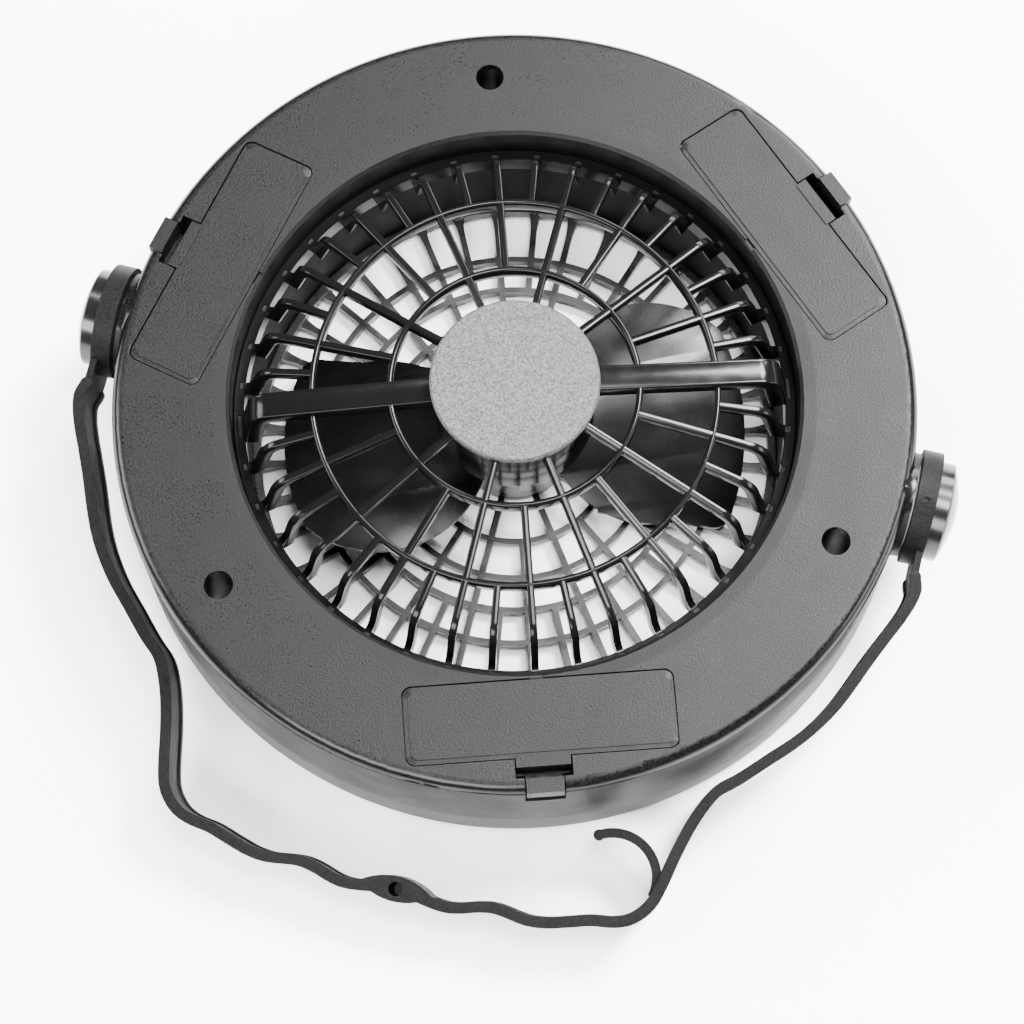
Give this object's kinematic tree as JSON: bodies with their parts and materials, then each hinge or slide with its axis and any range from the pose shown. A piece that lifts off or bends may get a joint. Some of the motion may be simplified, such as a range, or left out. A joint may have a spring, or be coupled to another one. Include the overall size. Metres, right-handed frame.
{
  "type": "portable camping fan",
  "caption": "Round battery camping fan with a ribbed rear basket, a ring lamp round the front grille, clip-in battery doors and a swinging bail handle with a hanging hook.",
  "frame": {"origin": "on the fan axis, in the plane of the front rim it rests on", "axes": "+Z along the fan axis to the rear, +X along the bail's pivot axis, -Y towards the resting bail"},
  "size_m": [0.2192, 0.2194, 0.0537],
  "materials": {
    "shell": "fine spark-eroded grain on the plate, glossy rolled edge",
    "door": "fine spark-eroded grain",
    "basket": "glossy",
    "front_grille": "satin silver-grey",
    "hub_cap": "fine grain",
    "front_shell": "satin",
    "bail": "satin with grained edges",
    "pivot_cap": "satin",
    "lens": "clear plastic",
    "reflector": "metallised plastic",
    "lamp_board": "white board",
    "light": "clear epoxy over phosphor",
    "motor_can": "zinc plated",
    "screw_steel": "zinc plated",
    "shaft_steel": "ground",
    "fan": "glossy",
    "cell": "plain sleeve",
    "contact": "nickel plated",
    "washer": "natural",
    "button": "satin",
    "switch_board": "solder resist"
  },
  "bodies": {
    "housing": {"rear_shell": "shell", "rear_grille": "basket", "hub_cap": "hub_cap", "front_shell": "front_shell", "front_grille": "front_grille", "lens_ring": "lens", "reflector": "reflector", "lamp_board": "lamp_board", "lights": "light", "motor": "motor_can", "motor_screws": "screw_steel", "pivot_screws": "screw_steel", "pivot_washers": "washer", "battery_cells": "cell", "contact_springs": "contact", "contact_plates": "contact", "housing_screws": "screw_steel", "switch_board": "switch_board"},
    "bail": {"handle": "bail", "pivot_cap_left": "pivot_cap", "pivot_cap_right": "pivot_cap"},
    "fan": {"fan_rotor": "fan", "motor_shaft": "shaft_steel"},
    "door_a": {"battery_door_a": "door"},
    "door_b": {"battery_door_b": "door"},
    "door_c": {"battery_door_c": "door"},
    "fan_button": {"fan_button": "button"},
    "lamp_button": {"lamp_button": "button"}
  },
  "joints": [
    {"name": "bail_swing", "type": "hinge", "parent": "housing", "child": "bail", "pos_m": [0, 0, 0.0292], "axis": [1, 0, 0], "continuous": true},
    {"name": "fan_spin", "type": "hinge", "parent": "housing", "child": "fan", "pos_m": [0, 0, 0.03], "axis": [0, 0, 1], "continuous": true},
    {"name": "door_a_lift", "type": "hinge", "parent": "housing", "child": "door_a", "pos_m": [0.04674, 0.05191, 0.043], "axis": [0.7431, -0.6691, 0], "range_deg": [0, 100]},
    {"name": "door_b_lift", "type": "hinge", "parent": "housing", "child": "door_b", "pos_m": [-0.06832, 0.01452, 0.043], "axis": [0.2079, 0.9781, 0], "range_deg": [0, 100]},
    {"name": "door_c_lift", "type": "hinge", "parent": "housing", "child": "door_c", "pos_m": [0.02159, -0.06643, 0.043], "axis": [-0.9511, -0.309, 0], "range_deg": [0, 100]},
    {"name": "fan_press", "type": "slide", "parent": "housing", "child": "fan_button", "axis": [0, -1, 0], "range_m": [0, 0.001], "stiffness_N_per_m": 300, "springref_m": -0.001},
    {"name": "lamp_press", "type": "slide", "parent": "housing", "child": "lamp_button", "axis": [0, -1, 0], "range_m": [0, 0.001], "stiffness_N_per_m": 300, "springref_m": -0.001}
  ]
}
